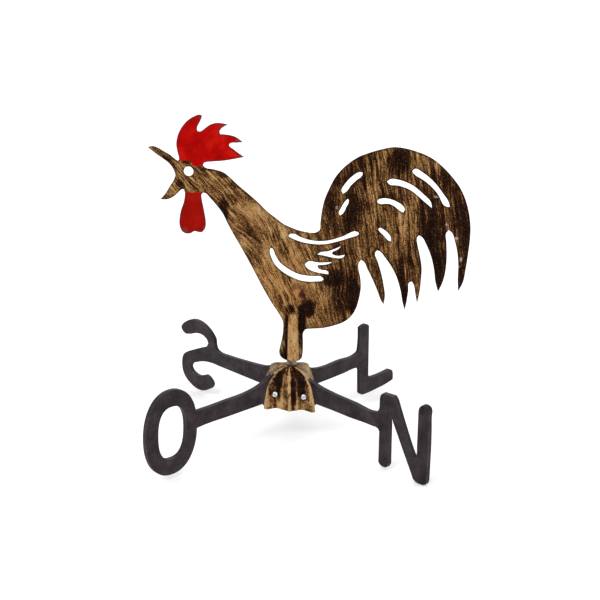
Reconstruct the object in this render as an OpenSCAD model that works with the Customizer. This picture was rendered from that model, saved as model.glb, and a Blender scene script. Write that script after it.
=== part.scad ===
// Weather vane: a flat steel cockerel that turns on a spindle above a four-letter compass.
// Origin: mouth of the mast socket, on the spin axis. +Z up, millimetres, real size.
// The cockerel's sheet stands parallel to the X-Z plane with its head towards -X.

/* [Bars and letters] */
// thickness of the flat bar the arms and letters are cut from
bar_t = 4.8; // [3:0.1:6]
// height of the bars' centre line above the origin
bar_mid = 20; // [18:0.5:22]

/* [Cockerel] */
// thickness of the cockerel's sheet
sheet_t = 2; // [1.5:0.1:3]
// radius of the eye hole
eye_r = 5; // [3:0.25:6]

/* [Hub cover] */
// thickness of the cover's wall
cover_t = 2.2; // [1.5:0.1:2.6]
// depth of the flutes at the rim
flute = 2.6; // [0:0.1:2.8]
// width of the slots the arms pass through
slot_w = 5.4; // [5:0.1:6.4]

/* [Mast socket] */
// radius of the socket that takes the mast
mast_r = 8.2; // [7:0.1:8.4]
// depth of the socket
mast_depth = 16; // [12:0.5:17]

/* [Spindle] */
// radius of the spindle
spindle_r = 2.8; // [2.5:0.1:3.1]
// running clearance between the spindle and the sleeve, on the radius
spindle_gap = 0.05; // [0.02:0.01:0.1]
// outside radius of the sleeve at its mouth
sleeve_r = 6.2; // [6:0.1:6.8]

/* [Hidden] */

// colours
gold = [0.62, 0.45, 0.24];
black_iron = [0.20, 0.17, 0.18];
zinc = [0.75, 0.75, 0.77];

// heights along the axis
crown_z = 41.6;                 // top of the cover
core_top = crown_z - cover_t - 0.5;
core_shoulder = 34;
nut_floor = 24;                 // roof of the spindle nut's pocket
washer_top = crown_z + 1.9;
sleeve_z0 = 48.4;
sleeve_z1 = 95.5;
spindle_top = 86;
ball_r = 2.4;
core_r = 12;
hub_x = -2.4;                   // the cover and the arms sit a little to the head's side of the axis
stud_r = spindle_r - 0.6;       // threaded lower end of the spindle

// screws through the cover's front and back
screw_x = 15.4;
screw_z = 17.2;
screw_tilt = 0.1;                // the row of screws drops towards +X
screw_r = 2;
seat_n = 27;                    // the screw heads' seat, out from the axis
foot_n = 23.6;                  // outer face of the arms' bent feet
foot_t = 4;
nut_h = 3.2;

// the sleeve narrows upwards, and its outside sits a little to the tail's side of its bore
sleeve_top_r = 5.05;
sleeve_off = 1.5;
sheet_y0 = 6;                   // front face of the sheet, against the sleeve's flat back
sheet_x = -2.1;                 // shifts the outline's own zero to the spin axis

// ---- smooth outlines ----
// A knot is [u, v] where the outline runs on smoothly and [u, v, 1] at a sharp corner.
function knot(p) = [p[0], p[1]];
function corner(p) = len(p) > 2;
function unit(v) = v / max(norm(v), 1e-6);

// direction of travel through a knot, from its two neighbours
function through(a, b, c) =
    let (l1 = norm(b - a), l2 = norm(c - b))
    (unit(b - a) * l2 + unit(c - b) * l1) / (l1 + l2);

// one stretch from knot i to the next, without its end point
function stretch(k, i, step) =
    let (n = len(k), j = (i + 1) % n,
         a = knot(k[(i + n - 1) % n]), b = knot(k[i]), c = knot(k[j]), d = knot(k[(j + 1) % n]),
         len_bc = norm(c - b), chord = unit(c - b),
         tb0 = corner(k[i]) ? chord : through(a, b, c),
         tc0 = corner(k[j]) ? chord : through(b, c, d),
         tb = corner(k[i]) ? 1.5 * chord - 0.5 * tc0 : tb0,
         tc = corner(k[j]) ? 1.5 * chord - 0.5 * tb0 : tc0,
         straight = corner(k[i]) && corner(k[j]),
         m = straight ? 1 : max(1, min(6, round(len_bc / step))))
    [for (q = [0 : m - 1]) let (t = q / m, t2 = t * t, t3 = t2 * t)
        b * (2 * t3 - 3 * t2 + 1) + c * (3 * t2 - 2 * t3)
        + len_bc * (tb * (t3 - 2 * t2 + t) + tc * (t3 - t2))];

function smooth(k, step = 3) = [for (i = [0 : len(k) - 1]) each stretch(k, i, step)];

// an oval a little squarer than an ellipse
function oval(hu, hv, power, n) = [for (i = [0 : n - 1])
    let (w = 360 * i / n, c = cos(w), s = sin(w))
    [hu * sign(c) * pow(abs(c), 2 / power), hv * sign(s) * pow(abs(s), 2 / power)]];

// ---- the cockerel's outline, in order from the beak round the top to the tail ----
upper_beak = [[-144.5, 257, 1], [-140, 258], [-134, 256], [-129, 253], [-121, 248],
              [-116, 243.5], [-114.2, 242.6], [-113, 244.5]];
comb = [[-114, 250], [-115.4, 259], [-114.2, 267], [-110, 276], [-103, 284], [-96, 288.2],
        [-90.5, 289.8], [-88.4, 289], [-88.8, 286.5], [-92.2, 280], [-94, 275], [-93.2, 273],
        [-91, 272.6], [-87, 275], [-81, 279.3], [-75, 281.2], [-68, 281], [-62.3, 279.6, 1],
        [-68.5, 276.3], [-71, 273], [-70.4, 270, 1], [-63, 269.4], [-56, 267.8], [-47.3, 261.8, 1],
        [-54, 261.4], [-60.5, 260.6], [-61.6, 258.6], [-57.5, 255], [-46.3, 246.7, 1],
        [-55, 245], [-67, 243], [-80, 242], [-87.4, 240.8], [-88.9, 238.4], [-87, 236]];
neck = [[-78, 234], [-68, 230.8], [-61, 225.3], [-52, 216.5], [-42, 208], [-32, 199],
        [-23, 189.7], [-14, 182.6], [-5, 175.8], [3, 172], [11, 169.2], [20, 167.3], [28, 167.2],
        [31.4, 169.3]];
tail_top = [[32.5, 178], [34, 190], [37, 203], [42, 215], [49, 227.5], [60, 239], [71, 246.5],
            [84, 251.5], [96, 254.8], [108, 256.8], [120, 255.3], [131, 252.2], [141, 248.4],
            [151, 242.6], [160, 235], [169, 225.5], [177, 215], [183, 203], [187.3, 189],
            [189.8, 174], [190, 162], [188.8, 145], [187, 128], [184.6, 113], [180.2, 103.5, 1]];
feather_1 = [[179.2, 115], [179, 131], [177.6, 144], [174.5, 157], [170.3, 167.4], [167.3, 170],
             [164.8, 167.3], [165.3, 157], [166.2, 144], [166, 130], [163.6, 115], [158.6, 102.8, 1]];
feather_2 = [[155.5, 113], [153.4, 127], [149.5, 142], [144.5, 153.5], [139, 162.6], [136, 164.4],
             [134, 161.8], [134.8, 155], [138, 142], [140.1, 130], [140, 116], [138.6, 101],
             [136.6, 90, 1]];
feather_3 = [[134.5, 100], [132.3, 110.5], [130.2, 114], [127.8, 113.4], [126.8, 104],
             [125.2, 91], [123.6, 82.2, 1]];
feather_4 = [[121.2, 90], [118.5, 104], [112.5, 122], [107, 132], [100.5, 141], [95.5, 147],
             [92.3, 148.2], [90.5, 145.6], [93.5, 136], [97.5, 123], [100.4, 110], [102, 98],
             [100.8, 89, 1]];
feather_5 = [[99, 91], [94.6, 101.5], [88.5, 116], [82.5, 128], [78.6, 136], [75.8, 137.8],
             [73.4, 134.6], [73.2, 129], [75.4, 118], [76, 106], [74.2, 94.5], [71, 83.5],
             [66, 75]];
belly = [[59, 69.2], [48, 64.8], [35, 61.8], [22, 61], [17, 60.4], [15, 57.5]];
leg = [[14.5, 46], [14, 33], [12.8, 27.2], [10, 24.6], [4, 24.2], [-2, 24.4], [-7, 26.6],
       [-10.6, 30.4], [-11.5, 35.5], [-10, 42.5], [-8, 52], [-7, 61], [-7.4, 70]];
breast = [[-11.5, 78], [-19, 90], [-26.5, 103.5], [-34, 118.5], [-42, 134.5], [-50, 150],
          [-57.5, 163.5], [-64.5, 177], [-69.8, 188.4], [-76, 197], [-82.8, 205], [-86.8, 209.2],
          [-89.4, 209.8], [-91.2, 207.6], [-91, 203]];
wattle = [[-89.6, 195], [-88.2, 186], [-87.4, 178.5], [-88.6, 171], [-91.6, 167.8], [-95.4, 168],
          [-99.4, 169], [-103.4, 166.8], [-108.2, 166.3], [-112.6, 169], [-114.9, 175.5],
          [-114.6, 183], [-112.8, 191.5], [-109.8, 199.5], [-108.6, 205], [-108.3, 210],
          [-109, 213.2], [-110.8, 213.4]];
lower_beak = [[-114.5, 210.5], [-119.5, 206], [-126, 202.9], [-134, 203, 1], [-128.4, 209],
              [-123.5, 216.8], [-119.6, 222.5], [-117.3, 228, 1], [-118.8, 233.5], [-122.6, 239.4],
              [-129.5, 245.2], [-137, 250.6]];
cockerel = [each upper_beak, each comb, each neck, each tail_top, each feather_1, each feather_2,
            each feather_3, each feather_4, each feather_5, each belly, each leg, each breast,
            each wattle, each lower_beak];

// ---- the slots cut through the body and the tail ----
wing_upper = [[-1, 163.8], [1, 166], [4, 166.2], [12, 162.4], [20, 159.7], [31, 158.1], [42, 159],
              [56, 163.2], [71, 168.2], [73, 166.8], [60, 160.4], [48, 156.8], [37, 154.6],
              [25, 154.8], [14.5, 156.6], [4, 160.4], [0, 162.4]];
wing_lower = [[-20.8, 148.5], [-19.6, 150.8], [-17.9, 150.3], [-15.4, 144], [-10, 135],
              [-2.6, 128.9], [11, 121.9], [22, 120.1], [35.6, 117.8], [36.2, 115.6], [28, 113.8],
              [15, 114.2], [5, 117.5], [-2, 121], [-10, 126.8], [-15.7, 133], [-19, 140]];
fork_upper = [[29, 143.6, 1], [33, 146.2], [40, 147], [47, 149.4], [54.8, 152.8, 1], [50.3, 148.3],
              [45.6, 146.4], [44.9, 144.2], [48.4, 142.5], [58.8, 143.6, 1], [57.5, 140.9],
              [44, 140.5], [38, 141.9, 1]];
fork_lower = [[16.2, 132.8], [18.6, 135.5], [31, 134.9], [46.4, 135.4, 1], [39, 132.4],
              [29.4, 130.8], [31.2, 127.9], [41, 124.9], [41.4, 121.8, 1], [31, 123.4],
              [24.5, 125.3], [17.4, 129.8]];
tail_1 = [[55.8, 208.4], [54.2, 211.4], [58.4, 219.6], [65.4, 227], [73, 231.3], [75.6, 230.8],
          [75.8, 228.2], [69.8, 222.8], [63.6, 216.8], [59.6, 211]];
tail_2 = [[53.2, 185.4], [51.6, 187.8], [54, 193.6], [57.6, 200], [60.8, 203.3], [62.1, 201.6],
          [59.4, 194.4], [56.2, 187.8]];
tail_3 = [[101, 221.2], [104.2, 223.9], [111, 223.6], [118, 221.8], [130, 215.8], [139.5, 207.8],
          [147.6, 199.2], [148.7, 193.4, 1], [142.4, 198.6], [136, 204.2], [126.5, 211.8],
          [113, 217], [103.4, 218.4]];
tail_4 = [[91.2, 200.6], [93.4, 203], [98, 203.9], [104, 203.2], [112.2, 200], [118.8, 195.4],
          [120.6, 191.6], [119, 188.4, 1], [114.4, 191.2], [109.2, 195.4], [103.8, 197.8],
          [92.6, 198.4]];
tail_5 = [[126.8, 232], [129.4, 234.6], [138, 230.6], [145.5, 224.8], [152.2, 218.2],
          [159.6, 208.6], [166.4, 198.6], [167.4, 194.4], [164.2, 194.6], [153.6, 209.2],
          [144.8, 218.3], [138, 223.4], [128.4, 229.6]];
tail_6 = [[93, 171.2], [95.4, 172.6], [98.4, 170.9], [102.8, 167.6], [106.8, 161.6],
          [107, 157.6, 1], [104.4, 158.4], [99.4, 163.8], [94.2, 169]];
cuts = [wing_upper, wing_lower, fork_upper, fork_lower, tail_1, tail_2, tail_3, tail_4, tail_5,
        tail_6];

// ---- the arms: u is the distance from the axis, v the height above the origin ----
// every arm's root: from the bar's underside through the cover's slot to its tongue on the core
web_in = 29;
tongue_in = 8.2;
root_low = [[60, 9.3], [50, 9.2], [39.6, 9.2, 1], [37.4, 5], [35, 3.4, 1], [web_in, 3.4, 1],
            [web_in, 27, 1], [tongue_in, 27, 1], [tongue_in, 33.2, 1], [24.5, 33.2, 1]];
root_north = [[31, 33.4], [36, 32.6], [41, 31.2], [45.6, 30.2], [54, 28.9]];
root_west = [[25.1, 36.2], [27.2, 38.2, 1], [29, 38], [32, 36.7], [35.5, 35], [39.5, 33.3],
             [44.5, 31.6], [51, 29.9], [58, 28.8]];
root_south = [[28, 34.4], [32, 33], [38, 31], [46, 29.8], [58, 28.8]];
root_east = [[30, 31.4], [37, 28.4], [46, 26.7]];
slot_tops = [34, 35.2, 60, 34.2];   // heights of the slots for east, south, west and north

north = [each root_low, each root_north, [64, 27.8], [96, 26], [122, 24.4], [128, 26.2],
         [130.2, 30], [130.8, 38], [131.6, 44.6], [134.6, 48, 1], [148.6, 48.6, 1], [151.7, 45, 1],
         [168, 8.4], [173.6, -3], [177.4, -8.4], [179.3, -4], [179.4, 6], [179.6, 38, 1],
         [181.4, 47.6], [184, 49.9], [189.6, 50], [191.8, 48.6], [192.5, 38], [192.5, -28, 1],
         [191.2, -31.6], [187, -32.9], [179.6, -32.9], [176.4, -31.2], [174, -27, 1],
         [148.5, 21.5, 1], [145.8, 25.8], [144.3, 24.6], [144.1, 16], [144.1, -26.4, 1],
         [142, -30], [133, -30], [130.9, -27.8, 1], [131.1, 5.8, 1], [129.4, 8.4], [122, 9], [90, 8.8]];

south = [each root_low, each root_south, [70, 28], [100, 26.8], [116, 27.2], [121, 29.4],
         [123.2, 34.4], [123.8, 40.8], [128, 46.2], [137, 52.8], [145.3, 56.2], [154, 57.6],
         [165.4, 56.4], [175, 51.8], [182.6, 45.8], [184.3, 42.8], [182.6, 39.6], [176, 36, 1],
         [166.4, 38], [157, 41.2], [149, 42.4], [141.4, 41], [136, 37.8], [134.2, 34], [136.6, 30.2],
         [150, 24.3], [163, 18.7], [175.2, 13.2], [181.4, 8.6], [184.2, 3.4], [185.2, -4],
         [184.6, -11], [181.6, -17.4], [176, -22.8], [169, -26.6], [162, -29], [154, -30],
         [146, -29], [137.4, -25.4], [130.8, -20.6], [129.2, -17.2], [136.4, -9.4], [140.6, -8],
         [147, -10.2], [154.4, -12.4], [161, -11.8], [167, -9], [169.9, -4.6], [167.4, -0.6],
         [156, 4.8], [144, 8.8], [134, 10.4], [110, 10.3]];

east = [each root_low, each root_east, [80, 26.9], [106, 27.2], [110.8, 29.2], [112, 34.6],
        [112.8, 58.2, 1], [124.8, 59.8], [127.9, 57.2, 1], [128.2, -4.1, 1], [129.6, -7.7],
        [133.4, -8.2], [167.4, -7.6, 1], [172, -9.8], [173.8, -15], [173.6, -22.2, 1],
        [160, -24.6], [144, -25.8], [124, -26.5], [116.8, -25.9], [114, -23.2, 1],
        [113.2, 5.6, 1], [111.4, 9.6], [106, 10.6], [84, 9.8]];

ring_cu = 163.6;
ring_cv = 14.7;
ring_lean = 2.4;
west_bar = [each root_low, each root_west, [66, 28], [90, 27.9], [118, 27.6], [140, 28.4, 1],
            [140, 9, 1], [128, 10.2], [90, 9.8]];

module plate_arm(az) {
    rotate([0, 0, az]) rotate([90, 0, 0]) linear_extrude(bar_t, center = true) children();
}

// the arm's foot, bent to lie behind the cover's front (side -1) or back (side 1) panel
module bent_foot(sx, side) {
    x_in = 8;
    x_out = 23;
    difference() {
        translate([sx > 0 ? x_in : -x_out, side > 0 ? foot_n - foot_t : -foot_n, 6])
            cube([x_out - x_in, foot_t, 16]);
        translate([sx * screw_x, side * foot_n, screw_z - screw_tilt * sx * screw_x]) rotate([90, 0, 0])
            cylinder(r = screw_r + 0.2, h = 20, center = true, $fn = 48);
    }
}

module arm(az, sx, side) {
    color(black_iron) translate([hub_x, 0, 0]) {
        plate_arm(az) children();
        bent_foot(sx, side);
    }
}

module arm_north() { arm(-45, 1, -1) polygon(smooth(north)); }
module arm_south() { arm(135, -1, 1) polygon(smooth(south)); }
module arm_east() { arm(45, 1, 1) polygon(smooth(east)); }
module arm_west() {
    arm(225, -1, -1) difference() {
        union() {
            polygon(smooth(west_bar));
            translate([ring_cu, ring_cv]) rotate(ring_lean) polygon(oval(31.7, 44.2, 2.2, 72));
        }
        translate([ring_cu - 0.5, ring_cv - 0.1]) rotate(ring_lean)
            polygon(oval(17.1, 27.3, 2.5, 56));
    }
}

// ---- the fluted cover ----
// how far its faces stand out from the axis at a height
levels = [[-1, 32.2], [5.8, 31.8], [11.3, 31.1], [18.7, 29.7], [25.3, 28.1], [31.5, 25.6],
          [36.1, 22.2], [38.6, 18.4], [40.1, 14.2], [41.2, 9.8], [41.6, 7]];
rows = 11;
around = 96;
squareness = 14;                // 2 would make the plan a circle
slot_in = 24.2;                 // where the slots for the arms start
squeeze = 0.93;                 // the left and right faces stand closer in than front and back
side_rise = 8;                  // and end higher, level with the bars' undersides
rim_low = 0.6;
scallop = 2.2;
corner_lift = 2.2;              // the rim turns up at each panel's lower corners
rim_tilt = 0.064;               // the rim hangs lower towards +X
function reach(z) = lookup(z, levels);

// across one side of the square plan, s runs from -1 at one corner to 1 at the next
function side_s(w) = let (q = (w + 45) % 90 - 45) tan(q);

// every side has a ridge down its middle, a lower ridge beside it and one at each corner
mid_ridge = 0.268;
end_ridge = 0.93;
low_ridge = 0.3;
function fold(s) = let (a = abs(s), t = a / mid_ridge,
                        q = min(1, (a - mid_ridge) / (end_ridge - mid_ridge)))
    a < mid_ridge ? low_ridge * t + 0.5 * sin(180 * t)
                  : low_ridge * (1 - q) + 0.85 * sin(180 * q);
function flute_in(s, z) = flute * pow(min(1, max(0, (crown_z - z) / 30)), 0.45) * fold(s);

// a point on the cover's skin, moved in by inset
function skin(w, z, inset) =
    let (c = abs(cos(w)), s = abs(sin(w)),
         plan = pow(pow(c, squareness) + pow(s, squareness), -1 / squareness),
         r = reach(z) * plan - flute_in(side_s(w), z) - inset)
    [squeeze * r * cos(w), r * sin(w)];
// the rim is scalloped: lowest at the corners and under the middle ridge
function rim_z(w) =
    let (a = abs(side_s(w)) / end_ridge)
    rim_low + scallop * (0.5 - 0.5 * cos(360 * min(1, a)))
    + corner_lift * max(0, abs(side_s(w)) - 0.8) / 0.2
    + (abs(cos(w)) > abs(sin(w)) + 0.01 ? side_rise : 0)
    - rim_tilt * reach(0) * cos(w) / max(abs(cos(w)), abs(sin(w)));

// heights of the mesh's rows: even steps from the rim to the shoulder, closer over the crown
shoulder_rows = 5;
upper_rows = [24, 29, 34, 36.8, 39.2, 40.9, crown_z];
function row_z(k, w) =
    k < shoulder_rows ? rim_z(w) + (upper_rows[0] - rim_z(w)) * k / shoulder_rows
                      : upper_rows[k - shoulder_rows];

function skin_ring(k, inset, drop) = [for (i = [0 : around - 1])
    let (w = 360 * i / around, z = row_z(k, w), p = skin(w, z, inset))
    [p[0], p[1], z - drop * k / rows]];

module cover_shell() {
    n = around;
    pts = [for (k = [0 : rows]) each skin_ring(k, 0, 0),
           for (k = [0 : rows]) each skin_ring(k, cover_t, cover_t),
           [0, 0, crown_z], [0, 0, crown_z - cover_t]];
    inner = (rows + 1) * n;
    tip = 2 * inner;
    faces = [
        for (k = [0 : rows - 1], i = [0 : n - 1]) let (j = (i + 1) % n, a = k * n, b = a + n)
            each [[a + i, b + i, b + j], [a + i, b + j, a + j]],
        for (k = [0 : rows - 1], i = [0 : n - 1])
            let (j = (i + 1) % n, a = inner + k * n, b = a + n)
            each [[a + i, b + j, b + i], [a + i, a + j, b + j]],
        for (i = [0 : n - 1]) let (j = (i + 1) % n) each [[i, j, inner + j], [i, inner + j, inner + i]],
        for (i = [0 : n - 1]) let (j = (i + 1) % n, a = rows * n) [a + i, tip, a + j],
        for (i = [0 : n - 1]) let (j = (i + 1) % n, a = inner + rows * n) [a + i, a + j, tip + 1]];
    polyhedron(pts, faces, convexity = 6);
}

module at_screws() {
    for (sx = [-1, 1], side = [-1, 1])
        translate([hub_x + sx * screw_x, 0, screw_z - screw_tilt * sx * screw_x])
            rotate([side < 0 ? 90 : -90, 0, 0]) children();
}

module hub_cover() {
    color(gold) difference() {
        union() {
            translate([hub_x, 0, 0]) cover_shell();
            at_screws() translate([0, 0, foot_n + 0.1])
                cylinder(r = 4.2, h = seat_n - foot_n - 0.1, $fn = 32);
        }
        translate([hub_x, 0, 0]) for (k = [0 : 3]) rotate([0, 0, 45 + 90 * k])
            translate([slot_in, -slot_w / 2, -2]) cube([40, slot_w, slot_tops[k] + 2]);
        at_screws() {
            translate([0, 0, seat_n]) cylinder(r = 4.1, h = 10, $fn = 32);
            translate([0, 0, 18]) cylinder(r = screw_r + 0.2, h = 15, $fn = 32);
        }
        translate([0, 0, 30]) cylinder(r = spindle_r + 0.2, h = 20, $fn = 48);
    }
}

// ---- turned parts on the axis ----
module hub_core() {
    color(black_iron) difference() {
        union() {
            cylinder(r = core_r, h = core_shoulder, $fn = 96);
            cylinder(r = 4.6, h = core_top, $fn = 64);
        }
        translate([0, 0, -1]) cylinder(r = mast_r, h = mast_depth + 1, $fn = 96);
        translate([0, 0, mast_depth - 1]) cylinder(r = 6.4, h = nut_floor - mast_depth + 1, $fn = 64);
        cylinder(r = stud_r + 0.1, h = 60, $fn = 48);
        translate([hub_x, 0, 0]) for (az = [45 : 90 : 315]) rotate([0, 0, az])
            translate([tongue_in - 0.2, -bar_t / 2 - 0.05, 26.9]) cube([12, bar_t + 0.1, 20]);
    }
}

module spindle() {
    color(zinc) union() {
        translate([0, 0, core_top]) cylinder(r = spindle_r, h = spindle_top - core_top, $fn = 64);
        translate([0, 0, 18]) cylinder(r = stud_r, h = core_top - 18, $fn = 48);
    }
}

module spindle_nut() {
    color(zinc) difference() {
        translate([0, 0, nut_floor - 5]) cylinder(r = 5.77, h = 5, $fn = 6);
        cylinder(r = stud_r + 0.05, h = 40, $fn = 48);
    }
}

module base_washer() {
    color(black_iron) difference() {
        translate([0, 0, crown_z]) cylinder(r = 5.6, h = washer_top - crown_z, $fn = 64);
        cylinder(r = spindle_r + 0.15, h = 60, $fn = 64);
    }
}

module spacer_collar() {
    color([0.66, 0.52, 0.42]) difference() {
        translate([0, 0, washer_top]) cylinder(r = 5.4, h = sleeve_z0 - 0.2 - washer_top, $fn = 64);
        cylinder(r = spindle_r + 0.1, h = 60, $fn = 64);
    }
}

module thrust_ball() {
    color(zinc) translate([0, 0, spindle_top + ball_r])
        rotate_extrude($fn = 48) intersection() {
            circle(r = ball_r, $fn = 48);
            translate([0, -ball_r]) square([ball_r, 2 * ball_r]);
        }
}

// ---- screws and nuts that hold the cover to the arms' feet ----
module cover_screws() {
    color(zinc) at_screws() {
        translate([0, 0, seat_n]) rotate_extrude($fn = 48)
            polygon([[0, 0], [3.4, 0], [3.4, 0.9], [3, 1.7], [2.2, 2.3], [1.1, 2.6], [0, 2.7]]);
        translate([0, 0, 13]) cylinder(r = screw_r, h = seat_n - 13, $fn = 48);
    }
}

module cover_nuts() {
    color(zinc) at_screws() translate([0, 0, foot_n - foot_t - nut_h]) difference() {
        cylinder(r = 4.04, h = nut_h, $fn = 6);
        translate([0, 0, -1]) cylinder(r = screw_r + 0.05, h = nut_h + 2, $fn = 48);
    }
}

// ---- the cockerel and the sleeve welded to its leg ----
module rooster_plate() {
    color(gold) translate([sheet_x, sheet_y0 + sheet_t, bar_mid]) rotate([90, 0, 0])
        linear_extrude(sheet_t) difference() {
            polygon(smooth(cockerel));
            for (k = cuts) polygon(smooth(k, 3.5));
            translate([-103.7, 232]) circle(r = eye_r, $fn = 48);
        }
}

// the sleeve's outside, its flat back and the welds down both sides
module sleeve_body() {
    height = sleeve_z1 - sleeve_z0;
    difference() {
        translate([sleeve_off, 0, sleeve_z0])
            cylinder(r1 = sleeve_r, r2 = sleeve_top_r, h = height, $fn = 72);
        translate([-20, sheet_y0, sleeve_z0 - 1]) cube([40, 20, height + 2]);
    }
    for (m = [0, 1]) translate([sleeve_off, 0, sleeve_z0 + 3]) mirror([m, 0, 0])
        linear_extrude(height - 5)
            polygon([[1.5, 4], [1.5, sheet_y0], [6.2, sheet_y0], [5.6, 4.2], [4.7, 2.4]]);
}

module pivot_sleeve() {
    color(gold) difference() {
        sleeve_body();
        translate([0, 0, sleeve_z0 - 1])
            cylinder(r = spindle_r + spindle_gap, h = sleeve_z1 - sleeve_z0 + 2, $fn = 96);
    }
}

module sleeve_cap() {
    plug_z = spindle_top + 2 * ball_r + 0.02;
    color(gold) union() {
        translate([0, 0, plug_z])
            cylinder(r = spindle_r + spindle_gap, h = sleeve_z1 - plug_z + 0.02, $fn = 96);
        translate([sleeve_off, 0, sleeve_z1]) rotate_extrude($fn = 72)
            polygon([[0, 0], [5.05, 0], [4.95, 1.2], [4.6, 2.5], [3.8, 3.7], [2.7, 4.5],
                     [1.4, 4.9], [0, 5]]);
    }
}

hub_cover();
hub_core();
arm_north();
arm_south();
arm_east();
arm_west();
cover_screws();
cover_nuts();
spindle();
spindle_nut();
base_washer();
spacer_collar();
thrust_ball();
rooster_plate();
pivot_sleeve();
sleeve_cap();
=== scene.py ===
"""Looks for the weather vane: bevelled plates, a fine fluted cover, aged gold, red and black."""
import math

import bmesh
import bpy
from mathutils import Matrix, Vector


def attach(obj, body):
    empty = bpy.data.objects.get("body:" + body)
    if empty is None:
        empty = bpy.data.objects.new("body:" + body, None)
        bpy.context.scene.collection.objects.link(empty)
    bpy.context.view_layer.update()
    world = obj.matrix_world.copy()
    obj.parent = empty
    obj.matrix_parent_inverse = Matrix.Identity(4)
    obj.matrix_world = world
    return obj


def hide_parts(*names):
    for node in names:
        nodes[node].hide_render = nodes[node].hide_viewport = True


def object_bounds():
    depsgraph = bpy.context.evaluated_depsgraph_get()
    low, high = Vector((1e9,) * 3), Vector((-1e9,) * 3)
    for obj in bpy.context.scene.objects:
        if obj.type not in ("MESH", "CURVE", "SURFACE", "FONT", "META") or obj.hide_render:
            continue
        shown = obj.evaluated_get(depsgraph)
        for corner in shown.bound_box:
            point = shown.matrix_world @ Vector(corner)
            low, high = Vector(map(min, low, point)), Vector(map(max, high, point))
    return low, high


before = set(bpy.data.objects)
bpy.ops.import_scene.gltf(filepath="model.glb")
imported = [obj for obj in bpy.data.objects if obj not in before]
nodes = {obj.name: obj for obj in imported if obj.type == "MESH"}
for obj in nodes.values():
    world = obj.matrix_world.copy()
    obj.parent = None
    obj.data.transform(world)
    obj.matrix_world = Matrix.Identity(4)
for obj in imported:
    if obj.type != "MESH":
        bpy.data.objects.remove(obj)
cad_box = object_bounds()
# sizes of shapes are in millimetres and become metres by this; places in the paints are in metres
MM = 0.001

# ---------------------------------------------------------------- camera, floor and lights

CAMERA_PLACE, CAMERA_TILT, LENS = (0.00907, -1.0186, 0.4229), 73.2, 60
# the lamps: name, place, size and power; all of them point at VANE_MIDDLE
LAMPS = [("key", (-1.1, -1.7, 2.2), 0.9, 20), ("fill", (1.9, -1.5, 1.2), 1.2, 7),
         ("back", (0.4, 2.2, 1.9), 1.6, 10)]
VANE_MIDDLE = (0, 0, 0.13)
WORLD_STRENGTH = 1.06
FLOOR_GAP = 0.0006
FLOOR_HALF = 40


def make_camera():
    data = bpy.data.cameras.new("camera")
    data.lens = LENS
    data.sensor_width = 36
    camera = bpy.data.objects.new("camera", data)
    camera.location = CAMERA_PLACE
    camera.rotation_euler = (math.radians(CAMERA_TILT), 0, 0)
    bpy.context.scene.collection.objects.link(camera)
    bpy.context.scene.camera = camera


def area_light(name, place, size, power):
    """A square lamp that points at the vane."""
    data = bpy.data.lights.new(name, "AREA")
    data.size = size
    data.energy = power
    light = bpy.data.objects.new(name, data)
    light.location = place
    bpy.context.scene.collection.objects.link(light)
    direction = Vector(VANE_MIDDLE) - light.location
    light.rotation_euler = direction.to_track_quat("-Z", "Y").to_euler()


def make_world():
    world = bpy.data.worlds.new("studio")
    world.use_nodes = True
    background = world.node_tree.nodes["Background"]
    background.inputs["Color"].default_value = (1, 1, 1, 1)
    background.inputs["Strength"].default_value = WORLD_STRENGTH
    bpy.context.scene.world = world


def make_floor():
    """A plain pale floor just under the vane's lowest letter."""
    low = cad_box[0][2] - FLOOR_GAP
    corners = [(-FLOOR_HALF, -FLOOR_HALF, low), (FLOOR_HALF, -FLOOR_HALF, low),
               (FLOOR_HALF, FLOOR_HALF, low), (-FLOOR_HALF, FLOOR_HALF, low)]
    mesh = bpy.data.meshes.new("floor")
    mesh.from_pydata(corners, [], [(0, 1, 2, 3)])
    floor = bpy.data.objects.new("floor", mesh)
    bpy.context.scene.collection.objects.link(floor)
    g = Graph("floor_white")
    mesh.materials.append(g.shader((0.95, 0.95, 0.95), 0.85, spec=0.1, glow=0.10))


def make_studio():
    make_world()
    for lamp in LAMPS:
        area_light(*lamp)
    make_floor()
    bpy.context.scene.view_settings.view_transform = "Standard"


# ---------------------------------------------------------------- node graphs


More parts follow.
